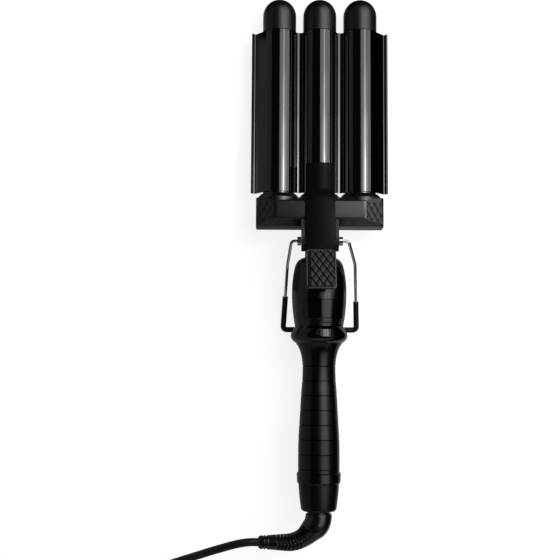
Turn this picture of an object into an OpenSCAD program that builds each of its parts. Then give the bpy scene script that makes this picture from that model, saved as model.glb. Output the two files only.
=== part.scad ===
// Three-barrel hair waver: three heated barrels in a cross housing, a sprung
// wave plate on a thumb lever, a folding wire rest, a round handle with a power
// button and a heat dial, and a swivel cord with its mains plug.
// The tool frame has X across the barrels, Y along the handle towards the tips
// and Z up through the lever, with Y = 0 at the hinge pin and Z = 0 on the
// barrel axes. stand_on_rest() then lays the tool on its rest and its tip caps.

/* [Barrels] */
// Outer diameter of each barrel
barrel_d = 25.4; // [22:0.1:27]
// Wall of each barrel tube
barrel_wall = 1.2; // [0.8:0.1:2]
// Distance between barrel axes
barrel_pitch = 32.75; // [31.5:0.05:34]
// Distance from the hinge pin to the far end of the barrels
barrel_end = 171.9; // [150:0.1:190]
// How far the barrels reach into the housing
barrel_root = 9.6; // [8:0.1:10]
// Outer diameter of a tip cap's skirt
cap_d = 27; // [24:0.1:28]
// Length of a tip cap's straight skirt
cap_skirt = 14.3; // [8:0.1:20]
// Height of a tip cap's dome
cap_dome = 13.7; // [8:0.1:20]
// Length of the cap spigot inside the barrel
cap_spigot = 8; // [4:0.5:12]

/* [Heaters] */
// Length of the heater core in each barrel
heater_len = 112; // [80:1:120]
// Width of the ceramic heater bar
ptc_w = 15; // [10:0.5:18]
// Thickness of the ceramic heater bar
ptc_t = 4; // [2.5:0.1:5]

/* [Collars] */
// Diameter of a collar where it meets the housing
collar_base_d = 35.4; // [34:0.1:37]
// Diameter of a collar where the barrel comes out
collar_top_d = 29.2; // [28.6:0.1:32]
// Length of the collar's cone
collar_cone = 3.5; // [2:0.1:6]
// Length of the collar's straight foot
collar_foot = 4; // [2:0.1:6]
// Wall of the spigot that holds the barrel
collar_wall = 2.6; // [1.6:0.1:3]

/* [Housing] */
// How far the housing's ends stand out past the outer collars
housing_margin = 0.2; // [0.1:0.1:4]
// Width of its flat front face
housing_flat_w = 71; // [60:0.5:80]
// Depth of the cross housing, front to back
housing_depth = 38; // [37.6:0.2:44]
// Depth of its end walls between the bevels
housing_edge = 21; // [12:0.5:26]
// Length of the flat front face along the handle
housing_flat_len = 13.7; // [10:0.1:16]
// Length of the bevel on the handle side
housing_bevel = 5.4; // [3:0.1:7]
// Gap along the handle from the hinge pin to the housing
housing_from_pin = 12.6; // [11:0.1:16]
// Wall of every moulded shell
shell_wall = 2.2; // [1.6:0.1:3]

/* [Wave plate] */
// Thickness of the plate
plate_t = 1.2; // [0.8:0.1:1.6]
// Gap between plate and barrels
plate_gap = 0.3; // [0.2:0.05:0.5]
// Length of the plate
plate_len = 131.4; // [110:0.1:140]
// How far the plate's lips reach past the outer barrels
lip_reach = 9.5; // [8:0.1:12]
// Radius of the valleys between barrels, at mid thickness
valley_r = 4.5; // [4:0.1:6]
// Radius of the trough along each side, at mid thickness
trough_r = 1.8; // [1.4:0.1:2.4]

/* [Lever] */
// Width of the lever on the plate
lever_w = 22.5; // [18:0.1:23]
// Thickness of the lever
lever_t = 1.6; // [1.2:0.1:2.2]
// Length of the lever on top of the plate
lever_lap = 22.5; // [15:0.5:40]
// Width of the lever between the bracket cheeks
lever_hinge_w = 23.6; // [22:0.1:24]
// Width of the thumb pad
pad_w = 24; // [20:0.1:26]
// Distance from the hinge pin to the end of the pad
pad_reach = 39.6; // [34:0.1:46]
// Height of the pad's top edge above the hinge pin
pad_rise = 22.6; // [20:0.1:26]
// Thickness of the moulded thumb pad
pad_t = 1.6; // [1:0.1:2.4]

/* [Hinge] */
// Height of the hinge pin above the barrel axes
pin_z = 17; // [16:0.1:18]
// Diameter of the hinge pin
pin_d = 4; // [3:0.1:4.2]
// Radial clearance of a running fit
run_gap = 0.06; // [0.03:0.01:0.1]
// Thickness of each bracket cheek
cheek_t = 2.6; // [2:0.1:3]
// Side gap between lever and cheeks
cheek_gap = 0.3; // [0.2:0.05:0.5]
// Thickness of the bracket's foot
bracket_t = 2.5; // [1.5:0.1:2.6]
// Diameter of the return spring's wire
spring_wire = 1; // [0.8:0.05:1.2]
// Turns of the return spring
spring_turns = 7; // [4:1:9]

/* [Rest] */
// Diameter of the rest's wire
wire_d = 2.4; // [2:0.1:3]
// Outer diameter of the soft sleeve on the loop
sleeve_d = 4.4; // [4:0.1:5]
// Distance from the hinge pin to the loop's bar, along the handle
rest_reach = 67.6; // [60:0.1:68]
// Depth of the loop's bar below the handle axis
rest_depth = 23.2; // [23:0.1:26]
// Half width of the wire where it leaves the bushings
rest_top_x = 22.4; // [21:0.1:24]
// Half width of the wire at its kink
rest_kink_x = 26.7; // [25:0.1:28]
// Half width of the loop
rest_loop_x = 29.9; // [28:0.1:32]
// How far the bent legs lean to the right of the middle
rest_off = 1.4; // [0:0.1:2]
// Distance from the hinge pin to the kink in the legs, along the handle
rest_kink_y = 17.2; // [14:0.1:20]
// Distance from the hinge pin to the middle of the sleeve's two ends
rest_sleeve_y = 44; // [36:0.1:50]
// How far the sleeve has slid round the loop, to the left
sleeve_slip = 1.9; // [0:0.1:3]
// Diameter of the pivot bushings
bushing_d = 6.9; // [6:0.1:8]
// Thickness of the pivot bushings
bushing_t = 2.8; // [2:0.1:4]

/* [Handle] */
// Diameter of the neck behind the housing
neck_d = 21; // [18:0.1:21]
// Largest diameter of the bulb
bulb_d = 43.4; // [40:0.1:44.4]
// Diameter of the bulb at its shoulder, behind the neck
bulb_shoulder_d = 39.2; // [37:0.1:40]
// Distance from the hinge pin to the bulb's shoulder
bulb_shoulder_y = 19.5; // [18:0.1:22]
// Distance from the hinge pin to the bulb's largest section
bulb_y = 38.7; // [34:0.1:42]
// Distance from the hinge pin to the end of the bulb
bulb_end = 66.3; // [62:0.1:67]
// Diameter of the bulb at its end
bulb_end_d = 38.2; // [36:0.1:39]
// Number of fine grooves round the bulb's end
bulb_grooves = 3; // [0:1:3]
// Largest diameter of the dial band
band_d = 45; // [43:0.1:45.4]
// Length of the dial band
band_len = 12.9; // [11:0.1:14]
// Diameter of the grip's foot, behind the band
grip_foot_d = 36.8; // [35:0.1:38]
// Diameter of the grip's waist
grip_waist_d = 26; // [24:0.1:28]
// Largest diameter of the grip
grip_d = 32.6; // [31:0.1:33.4]
// Distance from the hinge pin to the end of the grip
grip_end = 180.1; // [170:0.1:200]
// Distance between the grip's grooves
groove_pitch = 11.4; // [8:0.1:14]
// Depth of a grip groove
groove_depth = 0.5; // [0.3:0.1:0.8]
// Outer diameter of the tube inside the grip
core_d = 20.4; // [16:0.1:21]
// Diameter of the end ring
ring_d = 34.6; // [34:0.1:36]
// Length of the end ring
ring_len = 8.8; // [6:0.1:12]
// Length of the tail cap
tail_len = 20.8; // [16:0.1:26]
// Diameter of the tail cap at its end
tail_end_d = 27.6; // [24:0.1:29]

/* [Controls] */
// Width of the power button
button_w = 25; // [18:0.1:26]
// Length of the power button
button_len = 13.8; // [8:0.1:14]
// Distance from the hinge pin to the middle of the button
button_y = 52.8; // [50:0.1:54]
// Gap round the button
button_gap = 0.35; // [0.25:0.05:0.5]
// Travel of the button
button_travel = 0.6; // [0.4:0.1:0.8]
// Diameter of the heat dial over its ribs
dial_d = 38.2; // [37:0.1:38.4]
// Length of the heat dial
dial_len = 6; // [5:0.1:6.4]
// Number of ribs round the dial
dial_ribs = 66; // [40:2:80]
// Length of the dial window along the handle
window_len = 6.6; // [5:0.1:7]
// Angle that the dial window covers round the handle
window_angle = 44; // [34:1:70]
// Angle from the front to the middle of the dial window
window_turn = 15; // [0:1:40]

/* [Cord] */
// Diameter of the cord
cord_d = 6.4; // [5:0.1:7]
// Diameter of the swivel stem
stem_d = 20.6; // [18:0.1:22]
// Gap between the tail cap and the swivel stem
swivel_gap = 1.4; // [0.6:0.1:2]
// Diameter of the strain relief just past its bend
relief_neck_d = 15; // [12:0.1:17]
// Diameter of the strain relief at its end
relief_end_d = 10.4; // [9:0.1:12]
// Mean diameter of the cord's coil
coil_d = 75.2; // [64:0.4:76]
// Width of the coil over the turns that lie beside each other
coil_w = 28.8; // [12:0.4:32]
// Layers of turns in the coil
coil_layers = 2; // [1:1:3]
// Diameter of a plug pin
plug_pin_d = 4; // [3.8:0.1:4.8]
// Distance between the plug pins
plug_pin_gap = 18.6; // [14:0.1:20]
// Length of a plug pin
plug_pin_len = 19; // [15:0.5:22]

/* [Hidden] */
$fn = 64;
EPS = 0.01;
SEAT = 0.05;

barrel_r = barrel_d / 2;
barrel_bore_r = barrel_r - barrel_wall;
SIDES = [-1, 0, 1];
cap_y = barrel_end + 0.5;
cap_top_y = cap_y + cap_skirt;

housing_w = 2 * (barrel_pitch + collar_base_d / 2 + housing_margin);
housing_y0 = housing_from_pin;
housing_flat_y = housing_y0 + housing_bevel;
housing_seat_y = housing_flat_y + housing_flat_len;
collar_y = housing_seat_y + collar_foot;
collar_top_y = collar_y + collar_cone;
housing_y1 = collar_y - 0.3;
barrel_y0 = housing_seat_y - barrel_root;

plate_mid_r = barrel_r + plate_gap + plate_t / 2;
plate_top_r = plate_mid_r + plate_t / 2;
plate_w = 2 * (barrel_pitch + barrel_r + lip_reach);
plate_y0 = collar_top_y + 1.4;
plate_y1 = plate_y0 + plate_len;

cheek_in_x = lever_hinge_w / 2 + cheek_gap;
cheek_out_x = cheek_in_x + cheek_t;
bracket_z = neck_d / 2 + SEAT;
pin_r = pin_d / 2;
pin_half = cheek_out_x + 1.7;

rest_drop = pin_z + rest_depth;
rest_angle = atan(rest_drop / rest_reach);
rest_len = rest_reach / cos(rest_angle);
rest_kink_s = rest_kink_y / cos(rest_angle);
bushing_x = cheek_out_x + 0.3;

band_y = bulb_end;
band_end = band_y + band_len;
grip_y = band_end;
ring_end = grip_end + ring_len;
tail_end = ring_end + tail_len;
dial_y = band_y + 2.6;
stem_y = tail_end + swivel_gap;
stem_r = stem_d / 2;
spindle_r = 7.6;

// Angle at which the tool lies when both its rest and its tip caps touch the surface
function caps_low(a) = cap_top_y * sin(a)
    + sqrt(pow(cap_d / 2 * cos(a), 2) + pow(cap_dome * sin(a), 2));
function lie_angle(a, steps) = steps == 0 ? a
    : lie_angle(asin((rest_depth * cos(a) + sleeve_d / 2 - caps_low(a) + cap_top_y * sin(a))
                     / (cap_top_y + rest_reach)), steps - 1);
tilt = lie_angle(3, 8);
lift = caps_low(tilt);
// Middle of the laid tool along Y, from its tip domes to the end of its swivel spindle
laid_tip = cap_top_y * cos(tilt)
    + sqrt(pow(cap_dome * cos(tilt), 2) + pow(cap_d / 2 * sin(tilt), 2));
laid_tail = -stem_y * cos(tilt) - spindle_r * sin(tilt);
laid_mid = (laid_tip + laid_tail) / 2;

module stand_on_rest() {
    translate([0, -laid_mid, lift]) rotate([-tilt, 0, 0]) children();
}

// A point of the tool frame, laid on the surface
function laid(p) = [p[0],
    p[1] * cos(tilt) + p[2] * sin(tilt) - laid_mid,
    p[2] * cos(tilt) - p[1] * sin(tilt) + lift];

// ---- Shapes used more than once ----

// Solid of revolution about the tool's Y axis; points are [distance behind the pin, radius]
module turned(points, angle = 360) {
    rotate([90, 0, 0]) rotate_extrude(angle = angle) polygon([for (p = points) [p[1], p[0]]]);
}

// Cylinder along Y from y0 to y1, at a place across the tool
module along_y(r, y0, y1, x = 0, z = 0) {
    translate([x, y0, z]) rotate([-90, 0, 0]) cylinder(r = r, h = y1 - y0);
}

// Cylinder along X from x0 to x1
module along_x(r, x0, x1, y = 0, z = 0) {
    translate([x0, y, z]) rotate([0, 90, 0]) cylinder(r = r, h = x1 - x0);
}

// Outline in the Y-Z plane, extruded across X about x = 0
module side_profile(width, points) {
    translate([-width / 2, 0, 0]) rotate([90, 0, 90]) linear_extrude(width) polygon(points);
}

// Points of a quadratic curve from a to c that leaves and arrives along b
function curve(a, b, c, n) = [for (i = [0 : n]) let (t = i / n)
    (1 - t) * (1 - t) * a + 2 * t * (1 - t) * b + t * t * c];

// Closed outline with every corner cut by a rounded fillet that starts r from it
function fillet(points, r, n = 4) = let (m = len(points)) [for (i = [0 : m - 1]) let (
        b = points[i],
        to_a = points[(i + m - 1) % m] - b,
        to_c = points[(i + 1) % m] - b)
    each curve(b + to_a / norm(to_a) * r, b, b + to_c / norm(to_c) * r, n)];

// The line without the points that repeat the one before
function distinct(line) = [for (i = [0 : len(line) - 1])
    if (i == 0 || norm(line[i] - line[max(i - 1, 0)]) > EPS) line[i]];

// Band of even thickness along an open line of points
function band_outline(line, t) = let (
        m = len(line) - 1,
        normals = [for (i = [0 : m]) let (d = line[min(i + 1, m)] - line[max(i - 1, 0)])
            [-d[1], d[0]] / norm(d)])
    concat([for (i = [0 : m]) line[i] + normals[i] * t / 2],
           [for (i = [m : -1 : 0]) line[i] - normals[i] * t / 2]);

// Points of an arc about a centre
function arc(c, r, a0, a1, n) = [for (i = [0 : n]) let (a = a0 + (a1 - a0) * i / n)
    c + r * [cos(a), sin(a)]];

// Skin over rings of points, each ring with the same number of them; it is capped at both
// ends, or with round = true it runs on from the last ring to the first
module lofted(rings, round = false) {
    n = len(rings[0]);
    m = len(rings);
    polyhedron(
        points = [for (ring = rings) each ring],
        faces = concat(
            round ? [] : [[for (k = [0 : n - 1]) k], [for (k = [n - 1 : -1 : 0]) (m - 1) * n + k]],
            [for (i = [0 : round ? m - 1 : m - 2], k = [0 : n - 1])
                let (j = (i + 1) % m, q = (k + 1) % n) each [
                    [i * n + k, j * n + k, i * n + q],
                    [i * n + q, j * n + k, j * n + q]]]),
        convexity = 6);
}

function unit(v) = v / norm(v);
// Rings of a round tube along a route, with one radius for each point; up sets where a ring starts
function tube_rings(route, radii, sides, up) = let (m = len(route) - 1)
    [for (i = [0 : m]) let (
            d = unit(route[min(i + 1, m)] - route[max(i - 1, 0)]),
            u = unit(cross(d, up)),
            v = cross(d, u))
        [for (k = [0 : sides - 1]) let (a = 360 * k / sides)
            route[i] + radii[i] * (cos(a) * u + sin(a) * v)]];

// Points along a smooth curve through chosen points, for a route of any length
function smooth_point(p, i, t) = let (
        m = len(p) - 1,
        a = p[max(i - 1, 0)], b = p[i], c = p[min(i + 1, m)], d = p[min(i + 2, m)])
    0.5 * (2 * b + (c - a) * t + (2 * a - 5 * b + 4 * c - d) * t * t
           + (3 * b - 3 * c + d - a) * t * t * t);
function smooth(p, n) = concat(
    [for (i = [0 : len(p) - 2], k = [0 : n - 1]) smooth_point(p, i, k / n)], [p[len(p) - 1]]);

// ---- Barrels and heaters ----

module barrel(side) {
    color("#2b2b2e") stand_on_rest() difference() {
        along_y(barrel_r, barrel_y0, barrel_end, side * barrel_pitch);
        along_y(barrel_bore_r, barrel_y0 - 1, barrel_end + 1, side * barrel_pitch);
    }
}

// Tip cap: domed head with a skirt a little wider than the barrel, and a hollow spigot
module tip_cap(side) {
    spigot_r = barrel_bore_r - SEAT;
    dome = [for (i = [0 : 14]) let (a = 90 * i / 14)
        [-cap_top_y - cap_dome * sin(a), i == 14 ? 0 : cap_d / 2 * cos(a)]];
    color("#1c1c1d") stand_on_rest() translate([side * barrel_pitch, 0, 0])
        turned(concat(
            [[-cap_top_y, 0], [-cap_top_y, spigot_r - 2], [-barrel_end + cap_spigot, spigot_r - 2],
             [-barrel_end + cap_spigot, spigot_r], [-cap_y, spigot_r], [-cap_y, cap_d / 2 - 0.4],
             [-cap_y - 0.4, cap_d / 2]], dome));
}

heater_y0 = barrel_y0 + 8;

// Aluminium carrier pressed into the barrel, with a slot for the ceramic bar
module heat_spreader(side) {
    color("#b9bcc0") stand_on_rest() difference() {
        along_y(barrel_bore_r - SEAT, heater_y0, heater_y0 + heater_len, side * barrel_pitch);
        translate([side * barrel_pitch - ptc_w / 2 - SEAT, heater_y0 - 1, -ptc_t / 2 - SEAT])
            cube([ptc_w + 2 * SEAT, heater_len + 2, ptc_t + 2 * SEAT]);
        for (end = [-1, 1])
            along_y(2.2, heater_y0 - 1, heater_y0 + heater_len + 1, side * barrel_pitch, end * 6.4);
    }
}

module ptc_heater(side) {
    color("#e7e2d6") stand_on_rest()
        translate([side * barrel_pitch - ptc_w / 2, heater_y0 + 4, -ptc_t / 2])
            cube([ptc_w, heater_len - 8, ptc_t]);
}

// ---- Collars and cross housing ----

module barrel_collars() {
    spigot_r = barrel_r + SEAT + collar_wall;
    color("#232324") stand_on_rest() difference() {
        for (side = SIDES) translate([side * barrel_pitch, 0, 0]) {
            along_y(collar_base_d / 2, housing_seat_y + SEAT, collar_y);
            translate([0, collar_y, 0]) rotate([-90, 0, 0])
                cylinder(r1 = collar_base_d / 2, r2 = collar_top_d / 2, h = collar_cone);
            along_y(spigot_r, barrel_y0 + 2, housing_seat_y + 1);
        }
        for (side = SIDES)
            along_y(barrel_r + SEAT, barrel_y0 - 1, collar_top_y + 1, side * barrel_pitch);
    }
}

// Bevelled block, drawn in by inset on every side and by tip_inset at the barrels' side
module housing_block(inset, tip_inset) {
    half_w = housing_w / 2 - inset;
    half_flat = housing_flat_w / 2 - inset * 0.4;
    half_d = housing_depth / 2 - inset;
    half_edge = housing_edge / 2 - inset * 0.4;
    y0 = housing_y0 + inset;
    y1 = housing_y1 - tip_inset;
    across = [[half_w, -half_edge], [half_w, half_edge], [half_flat, half_d], [-half_flat, half_d],
              [-half_w, half_edge], [-half_w, -half_edge], [-half_flat, -half_d],
              [half_flat, -half_d]];
    lip = min(half_d - half_edge, 6 - inset);
    along = [[y0, -half_edge], [housing_flat_y + inset * 0.4, -half_d],
             [min(y1, housing_seat_y), -half_d], [y1, lip - half_d],
             [y1, half_d - lip], [min(y1, housing_seat_y), half_d],
             [housing_flat_y + inset * 0.4, half_d], [y0, half_edge]];
    intersection() {
        translate([0, y1 + 1, 0]) rotate([90, 0, 0])
            linear_extrude(y1 - y0 + 2) polygon(fillet(across, 2.2));
        side_profile(housing_w + 2, fillet(along, 1));
    }
}

housing_screw_xs = [-38, 38];
housing_screw_y = housing_flat_y;
housing_screw_deep = 7;
housing_screw_len = 13;

module housing_shell(front) {
    side = front ? 1 : -1;
    boss_r = 3.4;
    difference() {
        intersection() {
            union() {
                difference() {
                    housing_block(0, 0);
                    housing_block(shell_wall, housing_y1 - housing_seat_y + shell_wall);
                }
                intersection() {
                    housing_block(shell_wall / 2, 3);
                    for (x = housing_screw_xs)
                        translate([x, housing_screw_y, -housing_depth / 2])
                            cylinder(r = boss_r, h = housing_depth);
                }
            }
            translate([-housing_w, 0, front ? 0 : -housing_depth])
                cube([2 * housing_w, 2 * housing_y1, housing_depth]);
        }
        for (s = SIDES) {
            along_y(collar_base_d / 2 + SEAT, housing_seat_y, housing_y1 + 1, s * barrel_pitch);
            along_y(barrel_r + 2 * SEAT + collar_wall, barrel_y0, housing_y1, s * barrel_pitch);
        }
        along_y(neck_d / 2 + SEAT, housing_y0 - 1, housing_y0 + 2 * shell_wall);
        for (x = housing_screw_xs) translate([x, housing_screw_y, 0]) {
            if (front) translate([0, 0, -1]) cylinder(r = 1.25, h = 9);
            else {
                translate([0, 0, -housing_depth]) cylinder(r = 1.7, h = 2 * housing_depth);
                translate([0, 0, -housing_depth]) cylinder(r = 2.9, h = housing_depth - housing_screw_deep);
            }
        }
    }
}

module housing_front() {
    color("#1a1a1c") stand_on_rest() housing_shell(true);
}

module housing_back() {
    color("#1a1a1c") stand_on_rest() housing_shell(false);
}

// Pan-head screw pointing up, with its head's seat at z = 0
module screw(shank_r, head_r, len) {
    difference() {
        union() {
            translate([0, 0, -1.8]) cylinder(r = head_r, h = 1.8);
            translate([0, 0, -EPS]) cylinder(r = shank_r, h = len);
        }
        for (a = [0, 90]) rotate([0, 0, a]) translate([-1.6, -0.35, -2]) cube([3.2, 0.7, 1.1]);
    }
}

module housing_screws() {
    color("#55565a") stand_on_rest()
        for (x = housing_screw_xs) translate([x, housing_screw_y, -housing_screw_deep - SEAT])
            screw(1.2, 2.6, housing_screw_len);
}

// ---- Hinge ----

// Bracket: foot on the neck and two cheeks that follow the housing's bevel
module hinge_bracket() {
    bevel_dir = [housing_bevel, (housing_depth - housing_edge) / 2];
    bevel_foot = [housing_y0, housing_edge / 2];
    meet_low = bevel_foot + bevel_dir * 0.06 - [0.25, 0];
    meet_high = bevel_foot + bevel_dir * 0.9 - [0.25, 0];
    cheek = concat([meet_low, meet_high],
                   curve([4, pin_z + 4.4], [-7.3, pin_z + 4.2], [-7.3, pin_z - 2], 8),
                   [[-7.3, bracket_z], [housing_y0 - 0.3, bracket_z]]);
    color("#202022") stand_on_rest() difference() {
        union() {
            for (s = [-1, 1])
                translate([s * (cheek_in_x + cheek_t / 2), 0, 0]) side_profile(cheek_t, cheek);
            translate([-cheek_out_x + 1, -7.3, bracket_z])
                cube([2 * cheek_out_x - 2, 7.3 + housing_y0 - 0.3, bracket_t]);
        }
        along_x(pin_r + SEAT, -cheek_out_x - 1, cheek_out_x + 1, 0, pin_z);
    }
}

module hinge_pin() {
    color("#9a9da1") stand_on_rest() along_x(pin_r, -pin_half, pin_half, 0, pin_z);
}

// Torsion spring round the pin: a coil with one leg on the bracket and one below the lever
module return_spring() {
    wire_r = spring_wire / 2;
    coil_r = pin_r + 0.8 + wire_r;
    lift_r = 0.12;
    steps = 14;
    turn_pitch = spring_wire + lift_r;
    low_end = 270;
    high_end = 98;
    sweep = 360 * spring_turns + high_end - low_end + 360;
    count = floor(steps * sweep / 360);
    coil = [for (i = [0 : count]) let (a = low_end - sweep * i / count)
        [-turn_pitch * spring_turns / 2 + turn_pitch * sweep / 360 * i / count,
         coil_r * cos(a), pin_z + coil_r * sin(a)]];
    leg = 8;
    low_leg = coil[0] + [0, -leg, 0];
    high_leg = coil[count] + leg * [0, -cos(high_end - 90), -sin(high_end - 90)];
    route = concat([low_leg], coil, [high_leg]);
    color("#8d9094") stand_on_rest()
        lofted(tube_rings(route, [for (p = route) wire_r], 8, [1, 0, 0.01]));
}

// ---- Clamp ----

// Mid line of the wave plate from the middle barrel's crown to the right lip
plate_line = let (
        valley_c = [barrel_pitch / 2,
                    sqrt(pow(plate_mid_r + valley_r, 2) - pow(barrel_pitch / 2, 2))],
        meet = atan(valley_c[1] / valley_c[0]),
        trough_c = [plate_w / 2 - trough_r - 0.9, 1],
        side_c = [barrel_pitch, 0],
        lean = atan((trough_c[1] - side_c[1]) / (trough_c[0] - side_c[0])),
        cross_a = acos((plate_mid_r + trough_r) / norm(trough_c - side_c)))
    distinct(concat(
        arc([0, 0], plate_mid_r, 90, meet, 10),
        arc(valley_c, valley_r, 180 + meet, 360 - meet, 9),
        arc(side_c, plate_mid_r, 180 - meet, lean + cross_a, 18),
        arc(trough_c, trough_r, lean + cross_a + 180, 342, 8),
        [[plate_w / 2 - 0.35, trough_c[1] + 0.6]]));

module clamp_plate() {
    left = [for (i = [len(plate_line) - 1 : -1 : 1]) [-plate_line[i][0], plate_line[i][1]]];
    section = band_outline(concat(left, plate_line), plate_t);
    color("#111113") stand_on_rest()
        translate([0, plate_y1, 0]) rotate([90, 0, 0]) linear_extrude(plate_len) polygon(section);
}

// Height lost from crown to x on a circle of curvature c
function crown(c, x) = abs(c) < 0.0001 ? 0 : 1 / c - sqrt(1 / (c * c) - x * x);

// The lever's tail rises in a straight line from tail_start to tail_stop, under the pad
tail_start = [-11, pin_z + 8.5];
tail_stop = [2 - pad_reach, pin_z + pad_rise - pad_t - 1];
function tail_z(y) = tail_start[1]
    + (tail_stop[1] - tail_start[1]) * (y - tail_start[0]) / (tail_stop[0] - tail_start[0]);
lever_seat = plate_top_r + SEAT;
lever_top = lever_seat + lever_t;
over_housing = housing_depth / 2 + 1.5 + lever_t;
// Stations of the lever along the handle: place, top height, half width, curvature of its
// upper face and of its lower face
lever_stations = [
    [plate_y0 + lever_lap, lever_top, lever_w / 2, 1 / lever_top, 1 / lever_seat],
    [plate_y0 + 3, lever_top, lever_w / 2, 1 / lever_top, 1 / lever_seat],
    [plate_y0 + 0.6, lever_top + 0.7, lever_w / 2, 0.058, 0.064],
    [collar_top_y - 1.2, lever_top + 3.2, lever_w / 2, 0.044, 0.047],
    [collar_y - 0.4, over_housing - 0.9, lever_w / 2 + 0.2, 0.03, 0.03],
    [housing_seat_y - 0.7, over_housing, lever_hinge_w / 2, 0.018, 0.016],
    [housing_flat_y - 2, over_housing + 0.4, lever_hinge_w / 2, 0.018, 0.016],
    [4, pin_z + 5.8, lever_hinge_w / 2, 0.018, 0.016],
    [-3, pin_z + 6.2, lever_hinge_w / 2, 0.014, 0.012],
    [-7, tail_z(-7) - 0.1, lever_hinge_w / 2 - 0.2, 0.006, 0.005],
    [tail_start[0], tail_start[1], pad_w / 2 - 1, 0, 0],
    [tail_stop[0], tail_stop[1], pad_w / 2 - 1, 0, 0]];

function lever_ring(s) = concat(
    [for (k = [6 : -1 : -6]) let (x = s[2] * k / 6) [x, s[0], s[1] - crown(s[3], x)]],
    [for (k = [-6 : 6]) let (x = s[2] * k / 6) [x, s[0], s[1] - lever_t - crown(s[4], x)]]);

module clamp_lever() {
    ear_r = 3.6;
    ear_t = 1.8;
    ear = concat([[10, pin_z + 3.9]],
                 [for (s = lever_stations) if (s[0] < 10 && s[0] > tail_start[0]) [s[0], s[1] - 1.8]],
                 arc([0, pin_z], ear_r, 200, 330, 12));
    color("#1d1d20") stand_on_rest() difference() {
        union() {
            lofted([for (s = lever_stations) lever_ring(s)]);
            for (s = [-1, 1])
                translate([s * (lever_hinge_w / 2 - ear_t / 2 - 0.2), 0, 0])
                    side_profile(ear_t, ear);
        }
        along_x(pin_r + run_gap, -cheek_in_x, cheek_in_x, 0, pin_z);
    }
}

// Thumb pad: moulded cover with a raised rim over the lever's tail
module thumb_pad() {
    slope = atan((tail_stop[1] - tail_start[1]) / (tail_start[0] - tail_stop[0]));
    y0 = -7.6;
    len = (pad_reach + y0) / cos(slope);
    rim = 1.6;
    rim_h = 0.5;
    outline = fillet([[-pad_w / 2, 0], [pad_w / 2, 0], [pad_w / 2, len], [-pad_w / 2, len]], 3);
    well = fillet([[rim - pad_w / 2, 1], [pad_w / 2 - rim, 1],
                   [pad_w / 2 - rim, len - rim], [rim - pad_w / 2, len - rim]], 2.2);
    color("#19191b") stand_on_rest()
        translate([0, y0, tail_z(y0) + SEAT]) rotate([0, 0, 180]) rotate([slope, 0, 0])
            difference() {
                linear_extrude(pad_t + rim_h) polygon(outline);
                translate([0, 0, pad_t]) linear_extrude(rim_h + 1) polygon(well);
            }
}

// ---- Folding rest ----

// Route along a line of points in the X-Y plane, with a bend of its own radius at each corner
function bent_route(points, bends, n = 6) = let (m = len(points) - 1) concat(
    [[points[0][0], points[0][1], 0]],
    [for (i = [1 : m - 1]) let (
            a = unit(points[i] - points[i - 1]),
            b = unit(points[i + 1] - points[i]),
            turn = acos(a * b),
            side = a[0] * b[1] - a[1] * b[0] > 0 ? 1 : -1,
            start = points[i] - a * bends[i - 1] * tan(turn / 2),
            centre = start + side * bends[i - 1] * [-a[1], a[0]])
        for (k = [0 : n]) let (q = side * turn * k / n, arm = start - centre)
            [centre[0] + arm[0] * cos(q) - arm[1] * sin(q),
             centre[1] + arm[0] * sin(q) + arm[1] * cos(q), 0]],
    [[points[m][0], points[m][1], 0]]);

// Places the rest's own plane: its Y runs from the pivot to the loop, folded against the handle
module rest_plane() {
    translate([0, 0, pin_z]) rotate([180 + rest_angle, 0, 0]) children();
}

rest_in_x = pin_half + 0.4;
rest_slope = (rest_loop_x - rest_kink_x) / (rest_len - rest_kink_s);
rest_top_bend = 2.6;
rest_kink_bend = 20;
rest_loop_bend = 3;
rest_loop_line = [for (s = [-1, 1]) [s * rest_loop_x + rest_off, rest_len]];
// The left (-1) or right (1) leg at a distance from the pivot
function rest_leg(side, s) = [side * (rest_kink_x + rest_slope * (s - rest_kink_s)) + rest_off, s];

module rest_wire() {
    line = concat([[-rest_in_x, 0], [-rest_top_x, 0], rest_leg(-1, rest_kink_s)],
                  rest_loop_line,
                  [rest_leg(1, rest_kink_s), [rest_top_x, 0], [rest_in_x, 0]]);
    bends = [rest_top_bend, rest_kink_bend, rest_loop_bend];
    route = bent_route(line, concat(bends, [for (i = [2 : -1 : 0]) bends[i]]));
    color("#c9ccd1") stand_on_rest() rest_plane()
        lofted(tube_rings(route, [for (p = route) wire_d / 2], 12, [0, 0, 1]));
}

module rest_sleeve() {
    ends = [for (s = [-1, 1]) rest_leg(s, (rest_sleeve_y + s * sleeve_slip) / cos(rest_angle))];
    route = bent_route(concat([ends[0]], rest_loop_line, [ends[1]]),
                       [rest_loop_bend, rest_loop_bend]);
    outer = tube_rings(route, [for (p = route) sleeve_d / 2], 16, [0, 0, 1]);
    inner = tube_rings(route, [for (p = route) wire_d / 2 + SEAT], 16, [0, 0, 1]);
    last = len(route) - 1;
    color("#151516") stand_on_rest() rest_plane()
        lofted(concat(outer, [for (i = [last : -1 : 0]) inner[i]]), true);
}

module rest_bushings() {
    color("#131314") stand_on_rest() for (s = [-1, 1]) difference() {
        along_x(bushing_d / 2, s > 0 ? bushing_x : -bushing_x - bushing_t,
                s > 0 ? bushing_x + bushing_t : -bushing_x, 0, pin_z);
        along_x(pin_r + run_gap, -pin_half - 0.2, pin_half + 0.2, 0, pin_z);
        along_x(wire_d / 2 + SEAT, -rest_top_x, rest_top_x, 0, pin_z);
    }
}

// ---- Handle ----

bulb_groove_y = 61;
bulb_groove_pitch = 1.6;
bulb_groove_w = 0.7;
bulb_groove_depth = 0.22;

// The bulb's outline behind its largest section, at a distance from the pin
function bulb_tail(y) = [y,
    bulb_d / 2 - (bulb_d - bulb_end_d) / 2 * pow((y - bulb_y) / (bulb_end - bulb_y), 2)];

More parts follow.
